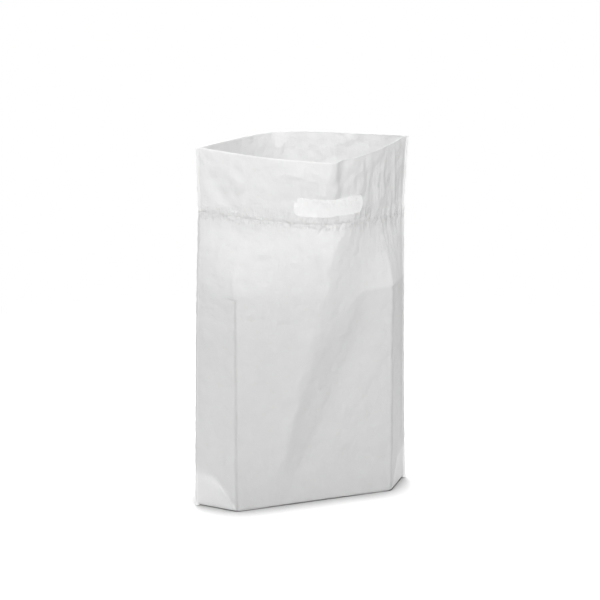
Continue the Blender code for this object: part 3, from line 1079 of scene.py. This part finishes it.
def corner_marks(finish, noises, u, v):
    """The upright creases, the gusset's fold that shows through, and the pressed side welds."""
    off_corner = u.absolute() - CORNER
    packed = 1.0 - finish.step(v, *PACKED)
    line = (off_corner + noises["wander"] * CORNER_LINE_WANDER).bell(CORNER_LINE_WIDTH)
    hook_height = (v - PACKED_HEIGHT - HOOK_ABOVE).bell(HOOK_WIDTH)
    beyond = off_corner.at_least(0.0) * (GUSSET_LEAF / (HALF - CORNER))
    off_fold = v - (beyond * PRINT_SLOPE + (beyond * math.pi / GUSSET_LEAF).sine() * PRINT_BOW)
    pocket = finish.step(off_corner, *POCKET)
    fold_light = off_fold.bell(FOLD_LIGHT_WIDTH) * (off_corner - FOLD_LIGHT_BESIDE).bell(FOLD_LIGHT_REACH)
    return {
        "corner_line": line * packed * (1.0 + noises["wander"] * 1.2),
        "hook": hook_height * (off_corner - HOOK_BESIDE).bell(HOOK_LENGTH),
        "strip": finish.step(u.absolute(), *STRIP),
        # In the tone a painted highlight along the gusset's fold; in the bump a real ridge.
        "fold_light": fold_light * pocket * (1.0 + noises["patches"] * 1.3),
        "lined": (1.0 - finish.step(off_fold, *LINED)) * pocket,
    }


print("the lined patch reaches up to", round(PRINT_SLOPE * GUSSET_LEAF, 4), "at the side weld")

# %% A painted shade on the walls below the drape line
DRAPE_ACROSS = (0.010, 0.068)
DRAPE_DROP = 0.032
DRAPE_RISE = 0.038
DRAPE_SOFTNESS = 0.003
FADING = (0.20, 0.36)


def stretched_mark(finish, u, v):
    """Painted shade: 1 on the walls below the drape line, 0 on the film above: a step at the right, fading
    at the left.
    """
    across = finish.step(u, *DRAPE_ACROSS)
    above_drape = v - (PACKED_HEIGHT - DRAPE_DROP + across * DRAPE_RISE)
    draped = finish.step(above_drape, -DRAPE_SOFTNESS, DRAPE_SOFTNESS) * across
    return 1.0 - (draped + finish.step(v, *FADING) * (1.0 - across))


print("at the right the tight film ends", round(PACKED_HEIGHT - DRAPE_DROP + DRAPE_RISE, 3), "up")

# %% All marks of one piece
MARKS = (
    "doubled", "puckers", "gathers", "scallops", "rim",
    "strip", "fold_light", "lined", "stretched", "creases",
)


def panel_marks(finish, noises, u, v, gathered):
    marks = hem_marks(finish, noises, u, v, gathered) | corner_marks(finish, noises, u, v)
    # Painted shade on the walls below the drape line: a darker tone, and less light let through.
    marks["stretched"] = stretched_mark(finish, u, v)
    # In the tone this mark is painted shade in the corner creases, the weld's groove and the hook; in the
    # bump it is a real groove.
    marks["creases"] = marks["corner_line"] + (marks["weld_line"] * 0.6 + marks["hook"]) * gathered
    return marks


def plain_marks(u):
    """The gusset is single, slack film with none of a panel's marks."""
    return dict.fromkeys(MARKS, u * 0.0)


print("marks:", ", ".join(MARKS))

# %% [markdown]
# ## From marks to shaders
# A second layer of film makes the first look paler from the front and darker against the light. The
# bump carries only what is too fine for the mesh: the grain, the crumple and the ticks of the puckered
# weld. The walls below the drape line carry a painted shade: a darker tone and a translucent shader
# that passes a little less light, mixed in by that mark. The real panels are one film, but the back's
# finish passes more light than the front's, so that a weaker lamp lights the inside and doesn't bleach the
# back.

# %% What each mark adds
PLAIN_TONE = 0.815
# Painted light and shade in the tone: the walls below the drape line get painted shade, the creases paint
# shade into the crease lines and the weld's groove, the scallops paint light and shade on the weld's
# puckers, the fold's light is a painted highlight along the gusset's fold, and the rim is a painted
# highlight at the left and painted shade at the right.
TONE_SHARES = {
    "mottle": 0.08, "grain": 0.02, "doubled": 0.065, "stretched": -0.015, "creases": -0.11,
    "scallops": 0.12, "fold_light": 0.17, "lined": 0.15, "rim": 0.09,
}
HEIGHT_SHARES = {
    "mottle": 1.2, "fine": 0.35, "creasing": 0.4, "grain": 0.05, "puckers": 1.5,
    "scallops": 2.6, "gathers": 1.2, "creases": -0.5, "fold_light": 0.9,
}
SHEER_SHARES = {"doubled": -0.05, "lined": -0.03, "strip": -0.30}


def add_shares(start, marks, shares):
    """A number with each mark's share added to it."""
    total = start
    for name, share in shares.items():
        total = total + marks[name] * share
    return total


print("plain film has a tone of", PLAIN_TONE)

# %% The white film
BUMP_DISTANCE = 0.0011
PLAIN_ROUGHNESS = 0.42
MOTTLE_ROUGHNESS = 0.10
FRONT_SHEER = 0.48
BACK_SHEER = 0.65
BACK_GATHERED = 0.35
# Light passed by the plain film, and by the walls below the drape line, where it is lowered as painted
# shade.
UNSHADED_PASSED = 0.87
PAINTED_SHADE_PASSED = 0.77


def grey(level):
    return (level, level, level, 1.0)


def film_finish(name, panel, gathered=1.0, sheer=FRONT_SHEER):
    finish = Finish(bpy.data.materials.new(name))
    film_map = finish.node("ShaderNodeUVMap", {"uv_map": "film"})
    apart = finish.node("ShaderNodeSeparateXYZ", inputs={"Vector": film_map.outputs["UV"]})
    u, v = finish.value(apart.outputs["X"]), finish.value(apart.outputs["Y"])
    noises = film_noises(finish, film_map)
    marks = noises | (panel_marks(finish, noises, u, v, gathered) if panel else plain_marks(u))
    tone = add_shares(PLAIN_TONE, marks, TONE_SHARES)
    colour = finish.node(
        "ShaderNodeCombineColor", {"mode": "RGB"}, {"Red": tone, "Green": tone, "Blue": tone}
    )
    height = add_shares(0.0, marks, HEIGHT_SHARES)
    bump = finish.node(
        "ShaderNodeBump", inputs={"Strength": 1.0, "Distance": BUMP_DISTANCE, "Height": height}
    )
    normal = bump.outputs["Normal"]
    body = finish.node(
        "ShaderNodeBsdfPrincipled",
        inputs={
            "Base Color": colour.outputs["Color"],
            "Roughness": PLAIN_ROUGHNESS + marks["mottle"] * MOTTLE_ROUGHNESS,
            "Normal": normal,
        },
    )
    # The second translucent shader is the painted shade of the lower walls; slack here is the plain film.
    slack, shade_painted = (
        finish.node("ShaderNodeBsdfTranslucent", inputs={"Color": grey(passed), "Normal": normal})
        for passed in (UNSHADED_PASSED, PAINTED_SHADE_PASSED)
    )
    through = finish.mix(marks["stretched"], slack.outputs["BSDF"], shade_painted.outputs["BSDF"])
    surface = finish.mix(add_shares(sheer, marks, SHEER_SHARES), body.outputs["BSDF"], through)
    finish.node("ShaderNodeOutputMaterial", inputs={"Surface": surface})
    print(name, "has", len(finish.tree.nodes), "nodes")
    return finish.holder


panel_film = film_finish("white film", True)
back_film = film_finish("white back film", True, BACK_GATHERED, BACK_SHEER)
gusset_film = film_finish("white gusset film", False)
for piece, material in ((front_panel, panel_film), (back_panel, back_film), (gusset, gusset_film)):
    piece.data.materials.clear()
    piece.data.materials.append(material)

# %% [markdown]
# ## The studio floor and background
# The bag stands on a pale table that runs out into a white background. More light would whiten the
# table, but it would bleach the bag too, so the table is lifted to white only for the camera, and
# only beyond the bag. Around its foot an ambient occlusion term leaves the thin contact shadow. The
# world is white to the camera in the same way, and lights the bag with a plain pale room.

# %% Floor
FLOOR_SIZE = 24.0
FLOOR_BELOW = 0.0005
FLOOR_PALE = 0.93
SHADOW_REACH = 0.030
LIFT_FROM = 0.30
LIFT_TO = 1.1


def make_floor():
    bpy.ops.object.select_all(action="DESELECT")
    bpy.ops.mesh.primitive_plane_add(size=FLOOR_SIZE, location=(0.0, FLOOR_SIZE / 4, -FLOOR_BELOW))
    floor = bpy.context.object
    floor.name = "studio_floor"
    bpy.ops.object.transform_apply(location=True, rotation=True, scale=True)
    finish = Finish(bpy.data.materials.new("studio floor"))
    pale = finish.node("ShaderNodeBsdfDiffuse", inputs={"Color": grey(FLOOR_PALE)})
    shaded = finish.node("ShaderNodeBsdfDiffuse", inputs={"Color": grey(0.0)})
    white = finish.node("ShaderNodeEmission", inputs={"Color": WHITE, "Strength": 1.0})
    near = finish.node("ShaderNodeAmbientOcclusion", {"samples": 8}, {"Distance": SHADOW_REACH})
    place = finish.node("ShaderNodeTexCoord")
    reach = finish.node("ShaderNodeVectorMath", {"operation": "LENGTH"}, {0: place.outputs["Object"]})
    far = finish.step(finish.value(reach.outputs["Value"]), LIFT_FROM, LIFT_TO)
    lifted = finish.mix(far, pale.outputs["BSDF"], white.outputs["Emission"])
    shown = finish.mix(near.outputs["AO"], shaded.outputs["BSDF"], lifted)
    path = finish.node("ShaderNodeLightPath")
    surface = finish.mix(path.outputs["Is Camera Ray"], pale.outputs["BSDF"], shown)
    finish.node("ShaderNodeOutputMaterial", inputs={"Surface": surface})
    floor.data.materials.append(finish.holder)
    return floor


floor = make_floor()
print("floor:", floor.name, "white from", LIFT_TO, "m out")

# %% World
ROOM_LIGHT = 0.56


def make_world():
    world = bpy.data.worlds.new("studio")
    bpy.context.scene.world = world
    finish = Finish(world)
    path = finish.node("ShaderNodeLightPath")
    room, white = (
        finish.node("ShaderNodeBackground", inputs={"Color": WHITE, "Strength": strength})
        for strength in (ROOM_LIGHT, 1.0)
    )
    seen = path.outputs["Is Camera Ray"]
    surface = finish.mix(seen, room.outputs["Background"], white.outputs["Background"])
    finish.node("ShaderNodeOutputWorld", inputs={"Surface": surface})
    return world


world = make_world()
print("world:", world.name, "with a room light of", ROOM_LIGHT)

# %% [markdown]
# ## The lamps
# A large soft key lamp stands high on the left. A lamp over the bag lights its leaning hem, and one
# behind it shines through the back panel, so that the inside and the hand hole glow. A small lamp
# looks down into the mouth. All are weak, so that the white film keeps its tones, from behind too.

# %% Lamps
def add_lamp(name, place, aim, size, power):
    data = bpy.data.lights.new(name, "AREA")
    data.shape = "SQUARE"
    data.size = size
    data.energy = power
    lamp = bpy.data.objects.new(name, data)
    bpy.context.scene.collection.objects.link(lamp)
    lamp.location = place
    away = np.array(place) - np.array(aim)
    flat = math.hypot(away[0], away[1])
    lamp.rotation_euler = (math.atan2(flat, away[2]), 0.0, math.atan2(away[0], -away[1]))
    return lamp


lamps = [
    add_lamp("key_lamp", (-0.85, -1.30, 1.65), (0.0, 0.0, 0.33), 0.8, 13.5),
    add_lamp("top_lamp", (0.0, 0.0, 1.9), (0.0, 0.0, 0.40), 0.8, 10.0),
    add_lamp("back_lamp", (0.15, 1.35, 1.15), (0.0, 0.0, 0.38), 0.9, 19.0),
    add_lamp("mouth_lamp", (-0.10, -0.45, 1.30), (0.0, 0.07, 0.40), 0.3, 5.6),
]
print("lamps, watts:", {lamp.name: lamp.data.energy for lamp in lamps})

# %% [markdown]
# ## The camera
# The photograph looks down a little from the left: 20.9 degrees round from the front and 13.9 degrees
# above the level, from two metres, with a long lens.

# %% Camera
CAMERA_TURN = math.radians(20.9)
CAMERA_TILT = math.radians(13.9)
CAMERA_DISTANCE = 2.0
CAMERA_LENS = 96.0
CAMERA_SENSOR = 36.0
AIM = (-0.0049, 0.0014, 0.2526)


def add_camera():
    data = bpy.data.cameras.new("camera")
    data.lens = CAMERA_LENS
    data.sensor_width = CAMERA_SENSOR
    camera = bpy.data.objects.new("camera", data)
    bpy.context.scene.collection.objects.link(camera)
    level = CAMERA_DISTANCE * math.cos(CAMERA_TILT)
    camera.location = (
        AIM[0] - level * math.sin(CAMERA_TURN),
        AIM[1] - level * math.cos(CAMERA_TURN),
        AIM[2] + CAMERA_DISTANCE * math.sin(CAMERA_TILT),
    )
    camera.rotation_euler = (math.pi / 2 - CAMERA_TILT, 0.0, -CAMERA_TURN)
    bpy.context.scene.camera = camera
    return camera


camera = add_camera()
scene = bpy.context.scene
scene.view_settings.view_transform = "Standard"
print("camera at", [round(c, 3) for c in camera.location])
